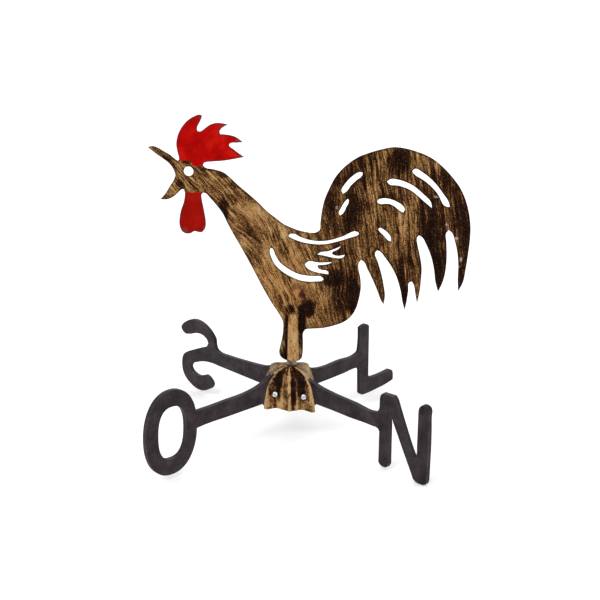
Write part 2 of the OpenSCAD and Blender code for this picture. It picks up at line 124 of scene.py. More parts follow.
class Graph:
    """A material and short calls for the nodes it is made of. Sockets and numbers mix freely."""

    def __init__(self, name):
        self.mat = bpy.data.materials.new(name)
        self.mat.use_nodes = True
        self.tree = self.mat.node_tree
        self.tree.nodes.clear()
        coord = self.tree.nodes.new("ShaderNodeTexCoord")
        self.p = coord.outputs["Object"]
        self.n = coord.outputs["Normal"]

    def node(self, kind, ins=None, **props):
        node = self.tree.nodes.new(kind)
        for key, value in props.items():
            setattr(node, key, value)
        for key, value in (ins or {}).items():
            if isinstance(value, bpy.types.NodeSocket):
                self.tree.links.new(value, node.inputs[key])
            elif value is not None:
                node.inputs[key].default_value = value
        return node

    def math(self, op, a, b=None):
        return self.node("ShaderNodeMath", {0: a, 1: b}, operation=op).outputs[0]

    def add(self, *terms):
        total = terms[0]
        for term in terms[1:]:
            total = self.math("ADD", total, term)
        return total

    def mul(self, a, b):
        return self.math("MULTIPLY", a, b)

    def split(self, vector):
        return self.node("ShaderNodeSeparateXYZ", {0: vector}).outputs

    def vec(self, x, y, z):
        return self.node("ShaderNodeCombineXYZ", {0: x, 1: y, 2: z}).outputs[0]

    def noise(self, vector, scale=1.0, detail=3.0, rough=0.55):
        ins = {"Vector": vector, "Scale": scale, "Detail": detail, "Roughness": rough}
        return self.node("ShaderNodeTexNoise", ins).outputs[0]

    def cells(self, vector, scale):
        return self.node("ShaderNodeTexVoronoi", {"Vector": vector, "Scale": scale}).outputs[0]

    def step(self, value, low, high):
        ins = {0: value, 1: low, 2: high}
        return self.node("ShaderNodeMapRange", ins, interpolation_type="SMOOTHSTEP").outputs[0]

    def ramp(self, fac, stops):
        node = self.node("ShaderNodeValToRGB", {0: fac})
        ramp = node.color_ramp
        while len(ramp.elements) < len(stops):
            ramp.elements.new(0.5)
        for element, (place, colour) in zip(ramp.elements, stops):
            element.position = place
            element.color = (*colour, 1)
        return node.outputs[0]

    def mix(self, fac, a, b):
        """Two colours mixed; a colour is a socket or three numbers."""
        a = (*a, 1) if isinstance(a, tuple) else a
        b = (*b, 1) if isinstance(b, tuple) else b
        node = self.node("ShaderNodeMix", {0: fac, 6: a, 7: b}, data_type="RGBA")
        return node.outputs[2]

    def blend(self, fac, a, b):
        """Two plain values mixed."""
        return self.node("ShaderNodeMix", {0: fac, 2: a, 3: b}).outputs[0]

    def bump(self, height, strength, distance):
        ins = {"Height": height, "Strength": strength, "Distance": distance}
        return self.node("ShaderNodeBump", ins).outputs[0]

    def attribute(self, name):
        return self.node("ShaderNodeAttribute", attribute_name=name).outputs["Fac"]

    def edge(self, radius, flat=0.999):
        """1 close to an edge, 0 where the softened and the real normal agree to flat or better."""
        soft = self.node("ShaderNodeBevel", {"Radius": radius}, samples=6).outputs[0]
        hard = self.node("ShaderNodeNewGeometry").outputs["Normal"]
        dot = self.node("ShaderNodeVectorMath", {0: soft, 1: hard}, operation="DOT_PRODUCT")
        return self.step(dot.outputs["Value"], flat, 0.93)

    def oval_spot(self, x, z, spot):
        """A soft spot (x, z, half width, half height, strength), in millimetres."""
        cx, cz, rx, rz, amount = spot
        dx = self.mul(self.add(x, -cx * MM), 1 / (rx * MM))
        dz = self.mul(self.add(z, -cz * MM), 1 / (rz * MM))
        r = self.add(self.mul(dx, dx), self.mul(dz, dz))
        return self.mul(self.step(r, 1.0, 0.15), amount)

    def shader(self, base, rough, metal=0.0, spec=0.5, normal=None, glow=0.0):
        base = (*base, 1) if isinstance(base, tuple) else base
        ins = {"Base Color": base, "Roughness": rough, "Metallic": metal,
               "Specular IOR Level": spec, "Normal": normal,
               "Emission Color": (1, 1, 1, 1), "Emission Strength": glow}
        bsdf = self.node("ShaderNodeBsdfPrincipled", ins)
        self.node("ShaderNodeOutputMaterial", {0: bsdf.outputs[0]})
        return self.mat


# ---------------------------------------------------------------- paints

# the gold paint from the bare dark glaze (thin) to the thickest gold (thick)
GOLD_TONES = [(0.30, (0.006, 0.0017, 0.0006)), (0.42, (0.018, 0.0056, 0.0019)),
              (0.50, (0.072, 0.030, 0.0095)), (0.57, (0.185, 0.091, 0.029)),
              (0.66, (0.315, 0.177, 0.066)), (0.78, (0.46, 0.31, 0.150))]
EDGE_DARK = (0.012, 0.006, 0.005)
GLAZE = (0.028, 0.011, 0.006)
WARM_GOLD = (0.33, 0.15, 0.045)
HONEY_GOLD = (0.44, 0.235, 0.082)
OLIVE_GOLD = (0.27, 0.20, 0.10)
FLECK, SPARK, CHIP = (0.20, 0.115, 0.065), (0.26, 0.17, 0.11), (0.46, 0.31, 0.27)
DARK_RUSSET, PALE_RUSSET, RUST = (0.030, 0.006, 0.004), (0.20, 0.075, 0.028), (0.13, 0.03, 0.014)
MAROON, GREY_OLIVE = (0.042, 0.004, 0.006), (0.17, 0.15, 0.11)
DRY_RED_AND_HIGHLIGHT, DEEP_RED = (0.48, 0.06, 0.035), (0.17, 0.004, 0.0015)
PLUM, WORN_RED = (0.060, 0.010, 0.014), (0.10, 0.06, 0.07)
SCUFFED_IRON, WORN_EDGE_AND_SHEEN = (0.12, 0.10, 0.11), (0.12, 0.108, 0.112)

# where the brush marks turn from the neck's slant to the breast's, and from that to the tail's
NECK_END, TAIL_START = (-0.055, -0.020), (0.015, 0.060)
# how far the brush marks and patches wander sideways and up instead of running straight
WANDER_X, WANDER_Z = 0.012, 0.010
# the painted comb ends just above the eye, further up in front of it; the wattle starts at the chin
COMB_FOOT, COMB_FRONT_LIFT, COMB_SIDES = 0.2575, 0.0055, (-0.1172, -0.040)
WATTLE_TOP, WATTLE_SIDES = 0.2300, (-0.1180, -0.0865)

# soft patches on the cockerel where the gold was brushed on thin (below 0) or thick (above 0), and
# two dark ones beside the sleeve that are partly painted shade:
# x, z, half width and half height in millimetres, and the amount
PATCHES = [
    (-84, 254, 14, 4, -0.12), (-68, 248, 14, 6, -0.13), (-54, 239, 12, 7, -0.11),
    (-70, 212, 8, 15, -0.16), (-64, 224, 14, 9, -0.09), (-50, 226, 14, 8, -0.05),
    (-116, 238, 6, 7, -0.16), (-126, 267, 12, 5, -0.08), (-106, 263, 10, 4, -0.12),
    (-48, 190, 12, 10, -0.06), (-40, 172, 12, 26, -0.04), (-33, 210, 18, 12, 0.08),
    (-22, 150, 12, 30, 0.05), (6, 128, 20, 12, 0.08), (-14, 118, 10, 22, 0.04),
    (-18, 183, 6, 12, -0.08), (-7, 168, 7, 18, -0.06), (22, 166, 12, 8, -0.04),
    (50, 166, 16, 10, -0.10), (44, 138, 14, 12, -0.17), (58, 124, 18, 32, -0.16),
    (67, 114, 10, 26, -0.12), (16, 124, 7, 12, -0.08), (17, 104, 12, 13, -0.34),
    (24, 92, 10, 10, -0.05), (45, 96, 24, 12, -0.01), (40, 226, 12, 34, -0.10),
    (55, 246, 18, 16, -0.12), (64, 214, 14, 30, -0.13), (73, 240, 7, 14, -0.10),
    (60, 193, 20, 12, -0.08), (87, 236, 10, 44, 0.05), (110, 262, 16, 18, -0.16),
    (103, 223, 18, 8, -0.08), (104, 198, 14, 26, 0.02), (117, 202, 8, 18, 0.09),
    (128, 190, 6, 18, 0.06), (140, 204, 12, 38, -0.15), (151, 186, 12, 50, -0.14),
    (152, 246, 18, 14, -0.04), (177, 214, 14, 50, -0.10), (183, 160, 10, 44, -0.12),
    (120, 136, 18, 36, -0.10), (158, 138, 12, 36, -0.11), (95, 136, 10, 30, -0.05),
    # (-6, 70) and (10.5, 86) hug the sleeve: glaze left beside it, and painted shade of the sleeve
    # on the leg
    (-6, 70, 4, 34, -0.24), (10.5, 86, 5, 24, -0.30), (-9, 53, 5, 10, -0.10),
    (12, 55, 4, 9, 0.08), (-2, 104, 7, 7, -0.24), (105, 228, 32, 44, -0.035),
    (178, 206, 16, 62, -0.08), (150, 236, 30, 18, -0.07), (150, 150, 14, 50, -0.10),
    (172, 132, 12, 34, -0.08), (112, 122, 14, 34, -0.09), (84, 112, 10, 28, -0.07),
    (38, 205, 7, 30, -0.06), (70, 262, 30, 10, -0.05), (126, 168, 14, 22, -0.05),
]

# pale chips in the tail's glaze: x, z, half width, half height and strength
CHIPS = [(172, 182, 3, 2, 0.9), (180, 160, 2, 3, 0.9), (177, 151, 2.4, 1.8, 0.8),
         (150, 226, 2.6, 1.6, 0.7), (46, 214, 1.8, 2.4, 0.6), (161, 196, 1.8, 1.8, 0.7)]

# worn tips and edges of the comb and the wattle, as CHIPS
RED_WEAR = [(-90, 309, 5, 5, 0.8), (-64.5, 299.8, 6, 4, 0.85), (-50, 282.4, 8, 5, 0.9),
            (-48.5, 266.8, 6, 3.5, 0.8), (-89, 196, 4, 12, 0.6), (-112, 190, 5, 5, 0.4)]


def strokes(g, x, z, angle, across, along, seed):
    """Brush marks that run along angle; across and along are marks per metre."""
    c, s = math.cos(math.radians(angle)), math.sin(math.radians(angle))
    run = g.add(g.mul(x, c), g.mul(z, s))
    over = g.add(g.mul(x, -s), g.mul(z, c))
    return g.noise(g.vec(g.mul(over, across), seed, g.mul(run, along)), 1.0, 4.0, 0.6)


def brushed(g, x, z, across, along, seed):
    """Brush marks that follow the neck, then the breast, then the tail."""
    neck = strokes(g, x, z, -46, across, along, seed)
    breast = strokes(g, x, z, -66, across, along, seed + 1.9)
    rear = strokes(g, x, z, -82, across, along, seed + 3.1)
    return g.blend(g.step(x, *TAIL_START), g.blend(g.step(x, *NECK_END), neck, breast), rear)


def gold_thickness(g, x, z, fine, grain):
    """How thickly the gold lies on the cockerel, as a place on GOLD_TONES."""
    clouds = g.noise(g.p, 75.0, 4.0, 0.65)
    broad = brushed(g, x, z, 260, 16, 1.7)
    return g.add(0.552, g.mul(g.add(broad, -0.5), 0.55), g.mul(g.add(fine, -0.5), 0.85),
                 g.mul(g.add(grain, -0.5), 0.62), g.mul(g.add(clouds, -0.5), 0.26),
                 g.mul(g.step(x, *TAIL_START), -0.045),
                 *[g.oval_spot(x, z, spot) for spot in PATCHES])


def gold_on_glaze(g, x, z, gold):
    """The gold's colour, scratched through to the glaze and flecked over the dark parts."""
    colour = g.ramp(gold, GOLD_TONES)
    warm = g.add(g.oval_spot(x, z, (-10, 140, 34, 44, 0.8)),
                 g.oval_spot(x, z, (10, 110, 34, 24, 0.5)))
    warm = g.mul(warm, g.step(gold, 0.50, 0.62))
    colour = g.mix(g.mul(warm, 0.55), colour, WARM_GOLD)
    scratch = g.step(brushed(g, x, z, 430, 34, 9.1), 0.60, 0.68)
    colour = g.mix(g.mul(scratch, 0.62), colour, GLAZE)
    fleck = g.mul(g.step(g.cells(g.p, 420.0), 0.16, 0.09), g.step(g.noise(g.p, 60.0), 0.50, 0.58))
    colour = g.mix(g.mul(fleck, 0.55), colour, FLECK)
    spark = g.mul(g.step(g.noise(g.p, 1300.0, 1.0), 0.66, 0.74), g.step(gold, 0.52, 0.40))
    colour = g.mix(g.mul(spark, 0.5), colour, SPARK)
    russet = g.mul(g.step(g.noise(g.p, 48.0, 4.0), 0.56, 0.66), 0.30)
    return g.mix(russet, colour, g.mix(g.step(gold, 0.42, 0.60), DARK_RUSSET, PALE_RUSSET))


def dark_and_worn_edges(g, colour, near_edge, wall):
    """Darker along every edge, and the cut edge itself, bare metal here and sooty there."""
    broken = g.step(g.noise(g.p, 170.0, 3.0), 0.34, 0.50)
    colour = g.mix(g.mul(near_edge, g.mul(broken, 0.92)), colour, EDGE_DARK)
    worn = g.ramp(g.noise(g.p, 110.0, 4.0),
                  [(0.42, (0.020, 0.011, 0.008)), (0.54, (0.13, 0.085, 0.050)),
                   (0.66, (0.50, 0.38, 0.25))])
    return g.mix(wall, colour, worn)


def chips_and_stains(g, colour, x, z):
    """Pale chips, most of them in the tail, and a maroon stain above the sleeve."""
    chip = g.mul(g.step(g.cells(g.p, 95.0), 0.085, 0.05), g.step(x, 0.0, 0.12))
    chip = g.mul(chip, g.step(g.noise(g.p, 24.0), 0.55, 0.60))
    for spot in CHIPS:
        chip = g.math("MAXIMUM", chip, g.oval_spot(x, z, spot))
    colour = g.mix(g.mul(chip, 0.7), colour, CHIP)
    blush = g.add(g.oval_spot(x, z, (11, 118, 6, 10, 0.95)),
                  g.oval_spot(x, z, (5, 128, 10, 6, 0.6)))
    blush = g.mul(blush, g.step(g.noise(g.p, 150.0, 3.0), 0.38, 0.54))
    return g.mix(blush, colour, MAROON)


def aged_gold(name):
    """Gold dry-brushed over a dark glaze, with a red comb and wattle and worn cut edges."""
    g = Graph(name)
    px, _, pz = g.split(g.p)
    x = g.add(px, g.mul(g.add(g.noise(g.p, 22.0, 2.0), -0.5), WANDER_X))
    z = g.add(pz, g.mul(g.add(g.noise(g.p, 31.0, 2.0), -0.5), WANDER_Z))
    fine = brushed(g, x, z, 900, 60, 5.3)
    grain = g.noise(g.p, 1050.0, 2.0)
    gold = gold_thickness(g, x, z, fine, grain)
    near_edge = g.edge(4.0 * MM, 0.992)
    wall = g.step(g.math("ABSOLUTE", g.split(g.n)[1]), 0.75, 0.45)
    colour = dark_and_worn_edges(g, gold_on_glaze(g, x, z, gold), near_edge, wall)
    colour = chips_and_stains(g, colour, x, z)
    # the leg's left edge is scraped to a grey olive
    scrape = g.mul(g.oval_spot(px, pz, (-12.5, 74, 3.6, 26, 1.0)),
                   g.step(g.noise(g.p, 170.0, 3.0), 0.36, 0.5))
    colour = g.mix(g.mul(scrape, 0.7), colour, GREY_OLIVE)
    mask = comb_and_wattle(g, px, pz)
    red, red_rough = red_paint(g, px, pz, wall, near_edge)
    rough = g.blend(mask, g.add(0.40, g.mul(g.step(gold, 0.38, 0.6), 0.12)), red_rough)
    height = g.add(g.mul(fine, 0.7), g.mul(grain, 0.3))
    return g.shader(g.mix(mask, colour, red), rough, spec=0.018,
                    normal=g.bump(height, 0.35, 0.25 * MM))


def comb_and_wattle(g, x, z):
    """1 on the comb and the wattle, with a hand-painted border."""
    z = g.add(z, g.mul(g.add(g.noise(g.p, 240.0, 2.0), -0.5), 3.2 * MM))
    line = g.add(COMB_FOOT, g.mul(g.step(x, -0.099, -0.105), COMB_FRONT_LIFT))
    comb = g.mul(g.math("GREATER_THAN", z, line), g.math("GREATER_THAN", x, COMB_SIDES[0]))
    comb = g.mul(comb, g.math("LESS_THAN", x, COMB_SIDES[1]))
    wattle = g.mul(g.math("LESS_THAN", z, WATTLE_TOP), g.math("LESS_THAN", x, WATTLE_SIDES[1]))
    wattle = g.mul(wattle, g.math("GREATER_THAN", x, WATTLE_SIDES[0]))
    return g.math("MAXIMUM", comb, wattle)


def red_paint(g, x, z, wall, near_edge):
    """Glossy red and its roughness: plum-coloured along the edges, worn at the tips, with paler
    dry-brushed streaks that are partly a painted highlight.
    """
    patch = g.noise(g.p, 70.0, 4.0)
    red = g.ramp(patch, [(0.36, (0.25, 0.0008, 0.0004)), (0.52, (0.33, 0.0012, 0.0006)),
                         (0.68, (0.40, 0.006, 0.003))])
    # paler dry-brushed streaks on the red, which also stand in for its highlights: partly painted
    # highlight
    dry_and_highlit = g.noise(g.vec(g.mul(x, 120.0), 2.0, g.mul(z, 520.0)), 1.0, 4.0, 0.65)
    red = g.mix(g.mul(g.step(dry_and_highlit, 0.60, 0.72), 0.24), red, DRY_RED_AND_HIGHLIGHT)
    red = g.mix(g.mul(g.math("LESS_THAN", z, WATTLE_TOP), 0.6), red, DEEP_RED)
    edge = g.mul(near_edge, g.step(g.noise(g.p, 200.0), 0.32, 0.48))
    red = g.mix(g.mul(edge, 0.90), red, PLUM)
    red = g.mix(wall, red, g.ramp(g.noise(g.p, 120.0, 3.0),
                                  [(0.40, (0.045, 0.02, 0.03)), (0.62, (0.26, 0.03, 0.03))]))
    for spot in RED_WEAR:
        worn = g.mul(g.oval_spot(x, z, spot), g.step(g.noise(g.p, 420.0, 3.0), 0.40, 0.55))
        red = g.mix(worn, red, WORN_RED)
    return red, g.add(0.26, g.mul(patch, 0.16))


def black_iron(name):
    """Satin black paint with a plum-brown cast, paler along the edges: wear, and a painted sheen.
    """
    g = Graph(name)
    cloud = g.noise(g.p, 55.0, 5.0, 0.62)
    grain = g.noise(g.p, 900.0, 3.0)
    tone = g.add(g.mul(cloud, 0.65), g.mul(grain, 0.35))
    colour = g.ramp(tone, [(0.38, (0.0085, 0.0058, 0.0074)), (0.50, (0.0225, 0.0162, 0.0195)),
                           (0.62, (0.043, 0.033, 0.037))])
    scuff = g.step(g.noise(g.p, 330.0, 5.0, 0.7), 0.60, 0.74)
    colour = g.mix(g.mul(scuff, 0.30), colour, SCUFFED_IRON)
    # paler along the edges: partly wear, partly a painted sheen on the edges
    near_edge = g.mul(g.edge(0.9 * MM), g.step(g.noise(g.p, 120.0, 3.0), 0.38, 0.62))
    colour = g.mix(g.mul(near_edge, 0.5), colour, WORN_EDGE_AND_SHEEN)
    height = g.add(g.mul(g.noise(g.p, 160.0, 4.0), 0.7), g.mul(grain, 0.3))
    rough = g.add(0.38, g.mul(cloud, 0.22))
    return g.shader(colour, rough, spec=0.10, normal=g.bump(height, 0.5, 0.35 * MM))


def fluted_gold():
    """The cover: bright gold on the ridges, dark glaze left in the flutes."""
    g = Graph("fluted_gold")
    px, py, pz = g.split(g.p)
    px = g.add(px, -HUB_X * MM)
    flute = g.step(g.attribute("fold"), 0.05, 0.80)
    drag = g.noise(g.vec(g.mul(px, 420.0), g.mul(py, 420.0), g.mul(pz, 60.0)), 1.0, 5.0, 0.65)
    cloud = g.noise(g.p, 150.0, 4.0)
    grain = g.noise(g.p, 1100.0, 2.0)
    # the glaze in the flutes is darker higher up; the left and right panels are more even
    shade = g.add(-0.25, g.mul(g.step(pz, 0.006, 0.026), -0.12))
    beside = g.step(g.add(g.math("ABSOLUTE", px), g.mul(g.math("ABSOLUTE", py), -1.0)), 0.0, 0.002)
    shade = g.mul(shade, g.add(1.0, g.mul(beside, -0.50)))
    # beside also makes the left and right panels darker overall: painted shade, as they catch more
    # light from above
    gild = g.add(0.728, g.mul(flute, shade), g.mul(beside, -0.075),
                 g.mul(g.add(drag, -0.5), 0.80), g.mul(g.add(cloud, -0.5), 0.50),
                 g.mul(g.add(grain, -0.5), 0.80),
                 *[g.oval_spot(px, pz, spot) for spot in COVER_PATCHES])
    colour = g.ramp(gild, GOLD_TONES)
    olive = g.add(g.oval_spot(px, pz, (-22, 36, 10, 8, 0.6)),
                  g.oval_spot(px, pz, (22, 36, 10, 8, 0.6)))
    colour = g.mix(g.mul(olive, g.step(gild, 0.48, 0.62)), colour, OLIVE_GOLD)
    rust = g.step(g.noise(g.p, 120.0, 4.0), 0.56, 0.68)
    colour = g.mix(g.mul(rust, 0.24), colour, RUST)
    edge = g.mul(g.edge(0.9 * MM), g.step(g.noise(g.p, 300.0), 0.4, 0.6))
    colour = g.mix(g.mul(edge, 0.55), colour, EDGE_DARK)
    normal = g.bump(g.add(g.mul(cloud, 0.6), g.mul(drag, 0.4)), 0.6, 0.6 * MM)
    return g.shader(colour, g.add(0.24, g.mul(drag, 0.2)), spec=0.035, normal=normal)


# thin and thick gold on the cover, as PATCHES but from the cover's own middle
COVER_PATCHES = [
    (4.6, 22, 3.6, 26, -0.26), (-11, 32, 6, 8, -0.16), (12, 27, 6, 14, -0.08),
    (-9, 8, 6, 10, 0.14), (-20, 10, 6, 14, 0.10), (12, 5, 9, 6, 0.10), (20, 24, 5, 20, 0.10),
    (-3.5, 20, 2.4, 16, 0.04), (-20, 38, 9, 8, 0.05), (20, 38, 9, 8, 0.07), (-1, 33, 5, 8, 0.10),
]


def sleeve_gold():
    """The sleeve: gold on its front, darker on its sides and back: glaze left where it meets the
    leg, and painted shade on its sides.
    """
    g = Graph("sleeve_gold")
    px, py, pz = g.split(g.p)
    drag = g.noise(g.vec(g.mul(px, 500.0), g.mul(py, 500.0), g.mul(pz, 90.0)), 1.0, 5.0, 0.65)
    slant = strokes(g, px, pz, -58, 900, 90, 7.7)
    pit = g.noise(g.p, 420.0, 3.0)
    # darker towards the sleeve's sides and back: glaze left where it meets the leg, and painted
    # shade on its sides
    glaze_and_side_shade = g.step(py, -0.0022, 0.0022)
    gild = g.add(0.666, g.mul(glaze_and_side_shade, -0.40), g.mul(g.add(drag, -0.5), 0.50),
                 g.mul(g.add(slant, -0.5), 0.42), g.mul(g.add(pit, -0.5), 0.42))
    gild = g.add(gild, g.oval_spot(px, pz, (-3, 95, 3, 7, -0.16)),
                 g.oval_spot(px, pz, (5, 88, 3, 10, -0.08)))
    colour = g.ramp(gild, GOLD_TONES)
    colour = g.mix(0.22, colour, HONEY_GOLD)
    normal = g.bump(g.add(g.mul(drag, 0.5), g.mul(pit, 0.5)), 0.6, 0.5 * MM)
    return g.shader(colour, g.add(0.28, g.mul(pit, 0.22)), spec=0.05, normal=normal)


def plain_metal(name, low, high, rough, metal=1.0):
    """Bare or dulled metal, clouded between two colours."""
    g = Graph(name)
    tone = g.noise(g.p, 260.0, 4.0)
    fine = g.noise(g.p, 1300.0, 2.0)
    colour = g.mix(g.step(tone, 0.35, 0.65), low, high)
    return g.shader(colour, g.add(rough, g.mul(tone, 0.12)), metal=metal,
                    normal=g.bump(fine, 0.2, 0.08 * MM))


# ---------------------------------------------------------------- mesh helpers

# degrees: faces this flat to each other are joined, edges sharper than this are bevelled
FLAT_ANGLE, SHARP_ANGLE = 0.6, 42


def new_piece(name, bm, material, body, node, smooth_angle=38):
    """An object from the mesh that rides on a body and stands in for one CAD node."""
    mesh = bpy.data.meshes.new(name)
    bm.to_mesh(mesh)
    bm.free()
    mesh.materials.append(material)
    for polygon in mesh.polygons:
        polygon.use_smooth = True
    mesh.set_sharp_from_angle(angle=math.radians(smooth_angle))
    piece = bpy.data.objects.new(name, mesh)
    bpy.context.scene.collection.objects.link(piece)
    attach(piece, body)
    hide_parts(node)
    return piece


def bevelled(name, node, width, material, body):
    """The CAD node's own shape with its sharp edges rounded."""
    bm = bmesh.new()
    bm.from_mesh(nodes[node].data)
    bmesh.ops.remove_doubles(bm, verts=bm.verts, dist=1e-6)
    bmesh.ops.dissolve_limit(bm, angle_limit=math.radians(FLAT_ANGLE), verts=bm.verts,
                             edges=bm.edges, delimit=set())
    sharp = [e for e in bm.edges
             if len(e.link_faces) == 2 and e.calc_face_angle(0) > math.radians(SHARP_ANGLE)]
    bmesh.ops.bevel(bm, geom=sharp, offset=width * MM, offset_type="OFFSET", segments=3,
                    profile=0.5, affect="EDGES", clamp_overlap=True)
    piece = new_piece(name, bm, material, body, node)
    modifier = piece.modifiers.new("flat_faces", "WEIGHTED_NORMAL")
    modifier.keep_sharp = True
    modifier.weight = 100


def lathe(bm, profile, count):
    """Turns a profile of (radius, height) in millimetres about Z."""
    rings = []
    for radius, height in profile:
        ring = []
        for i in range(count if radius > 1e-6 else 1):
            a = 2 * math.pi * i / count
            place = (radius * math.cos(a), radius * math.sin(a), height)
            ring.append(bm.verts.new(Vector(place) * MM))
        rings.append(ring)
    for low, high in zip(rings, rings[1:]):
        for i in range(count):
            j = (i + 1) % count
            a, b = low[i % len(low)], low[j % len(low)]
            c, d = high[j % len(high)], high[i % len(high)]
            corners = list(dict.fromkeys([a, b, c, d]))
            if len(corners) > 2:
                bm.faces.new(corners)


def rounded(points, radius):
    """The profile with its inner corners turned into short arcs."""
    out = [points[0]]
    for a, b, c in zip(points, points[1:], points[2:]):
        a, b, c = Vector(a), Vector(b), Vector(c)
        cut = min(radius, (b - a).length / 2.2, (c - b).length / 2.2)
        p, q = b + (a - b).normalized() * cut, b + (c - b).normalized() * cut
        for t in (0, 0.25, 0.5, 0.75, 1):
            out.append(tuple(p * (1 - t) ** 2 + b * 2 * t * (1 - t) + q * t * t))
    return out + [points[-1]]


# ---------------------------------------------------------------- the fluted cover

# millimetres, from the cover's own middle, which stands HUB_X beside the spindle
CROWN, FOOT, SHOULDER, CROWN_HOLE = 41.6, -0.4, 24, 3.1
HUB_X, SQUEEZE, SQUARENESS = -2.4, 0.93, 14
WALL, FLUTE = 2.2, 2.6
# a panel's ridges, as parts of the way from its middle to its corners, and the middle fold's depth
MID_RIDGE, END_RIDGE, LOW_RIDGE = 0.268, 0.93, 0.3
# the rim: its lowest point, its scallops, its lift at the corners and on the side panels, its tilt
RIM_LOW, SCALLOP, CORNER_LIFT, SIDE_RISE, RIM_TILT = 0.6, 2.2, 2.2, 8, 0.064
# the corner slots: half width, inner end and the top of each
SLOT_HALF, SLOT_IN = 2.7, 24.2
SLOT_TOPS = (34, 35.2, 60, 34.2)
# the screws: beside the cover's middle and above the origin, their slant, and where the heads sit
SCREW_X, SCREW_Z, SCREW_TILT, SEAT = 15.4, 17.2, 0.1, 27.0
# how finely the cover is divided: across a panel, across a corner, and from foot to crown
ACROSS, BRIDGE, ROWS = 110, 10, 46
# (height, how far the cover's faces stand out from its middle there)
LEVELS = [(-1, 32.2), (5.8, 31.8), (11.3, 31.1), (18.7, 29.7), (25.3, 28.1), (31.5, 25.6),
          (36.1, 22.2), (38.6, 18.4), (40.1, 14.2), (41.2, 9.8), (41.6, 7)]


def reach(z):
    """How far the cover's faces stand out at any height."""
    z = min(max(z, LEVELS[0][0]), LEVELS[-1][0])
    for (z0, r0), (z1, r1) in zip(LEVELS, LEVELS[1:]):
        if z <= z1:
            return r0 + (r1 - r0) * (z - z0) / (z1 - z0)
    return LEVELS[-1][1]


def fold(side):
    """How deep the cover is folded in, from 0 on a ridge to about 1 in a flute."""
    a = abs(side)
    if a < MID_RIDGE:
        t = a / MID_RIDGE
        return LOW_RIDGE * t + 0.5 * math.sin(math.pi * t)
    t = min(1.0, (a - MID_RIDGE) / (END_RIDGE - MID_RIDGE))
    return LOW_RIDGE * (1 - t) + 0.85 * math.sin(math.pi * t)


def rim_height(w, side):
    """The rim is scalloped and tilted, and higher on the left and right panels."""
    c, s = math.cos(w), math.sin(w)
    a = min(1.0, abs(side) / END_RIDGE)
    rise = SIDE_RISE if abs(c) > abs(s) + 0.01 else 0
    rise += SCALLOP * (0.5 - 0.5 * math.cos(2 * math.pi * a))
    rise += CORNER_LIFT * (max(0.0, abs(side) - 0.8) / 0.2) ** 1.6
    return RIM_LOW + rise - RIM_TILT * reach(0) * c / max(abs(c), abs(s))


def side_of(w):
    """Where angle w falls on its panel: -1 and 1 are the corners, 0 is the middle."""
    return math.tan((w + math.pi / 4) % (math.pi / 2) - math.pi / 4)


def cover_point(w, z):
    """(x, y, fold) on the cover's outside, from the cover's own middle."""
    c, s = abs(math.cos(w)), abs(math.sin(w))
    plan = (c ** SQUARENESS + s ** SQUARENESS) ** (-1 / SQUARENESS)
    deep = fold(side_of(w))
    shrink = min(1.0, max(0.0, (CROWN - z) / 30)) ** 0.45
    r = reach(z) * plan - FLUTE * shrink * deep
    return SQUEEZE * r * math.cos(w), r * math.sin(w), deep


def halve(low, high, inside):
    """The place between low and high where inside() turns false, by repeated halving."""
    for _ in range(26):
        middle = (low + high) / 2
        if inside(middle):
            low = middle
        else:
            high = middle
    return low


def slot_side(corner, sign, z):
    """The angle at which the cover's skin meets one side of a corner's slot."""
    diagonal = (corner + 0.5) * math.pi / 2

    def clear(w):
        x, y, _ = cover_point(w, z)
        return sign * (y * math.cos(diagonal) - x * math.sin(diagonal)) > SLOT_HALF
    return halve(diagonal + sign * 0.7, diagonal, clear)


def slot_top(corner):
    """A slot ends at its own height, or where the cover draws in past the slot's inner end."""
    diagonal = (corner + 0.5) * math.pi / 2

    def outside(z):
        return math.hypot(*cover_point(diagonal, z)[:2]) > SLOT_IN
    return halve(20, SLOT_TOPS[corner], outside)


def row_heights(tops):
    """The cover's rows, closer together near the crown, with one at the top of every slot."""
    heights = [CROWN - (CROWN - FOOT) * (1 - k / ROWS) ** 1.5 for k in range(ROWS + 1)]
    heights = [z for z in heights if min(abs(z - top) for top in tops) > 0.12]
    return sorted(heights + sorted(set(tops)))


def row_angles(z):
    """Even steps across each panel, then across the slot at its corner."""
    angles = []
    for corner in range(4):
        start = slot_side(corner - 1, 1, z)
        end = slot_side(corner, -1, z)
        after = slot_side(corner, 1, z)
        angles += [start + (end - start) * i / ACROSS for i in range(ACROSS)]
        angles += [end + (after - end) * i / BRIDGE for i in range(BRIDGE)]
    return angles


def cover_row(bm, layer, z):
    """One row of points. Below the shoulder it follows the rim."""
    row = []
    for w in row_angles(z):
        height = z
        if z < SHOULDER:
            rim = rim_height(w, side_of(w))
            height = rim + (SHOULDER - rim) * (z - FOOT) / (SHOULDER - FOOT)
        x, y, deep = cover_point(w, height)
        v = bm.verts.new(Vector((x + HUB_X, spot_face(x, y, height), height)) * MM)
        v[layer] = deep
        row.append(v)
    return row


def close_crown(bm, row):
    """The flat top, open in the middle for the spindle."""
    ring = []
    for v in row:
        a = math.atan2(v.co.y, v.co.x)
        place = (CROWN_HOLE * math.cos(a), CROWN_HOLE * math.sin(a), CROWN)
        ring.append(bm.verts.new(Vector(place) * MM))
    for i in range(len(row)):
        j = (i + 1) % len(row)
        bm.faces.new((row[i], row[j], ring[j], ring[i]))


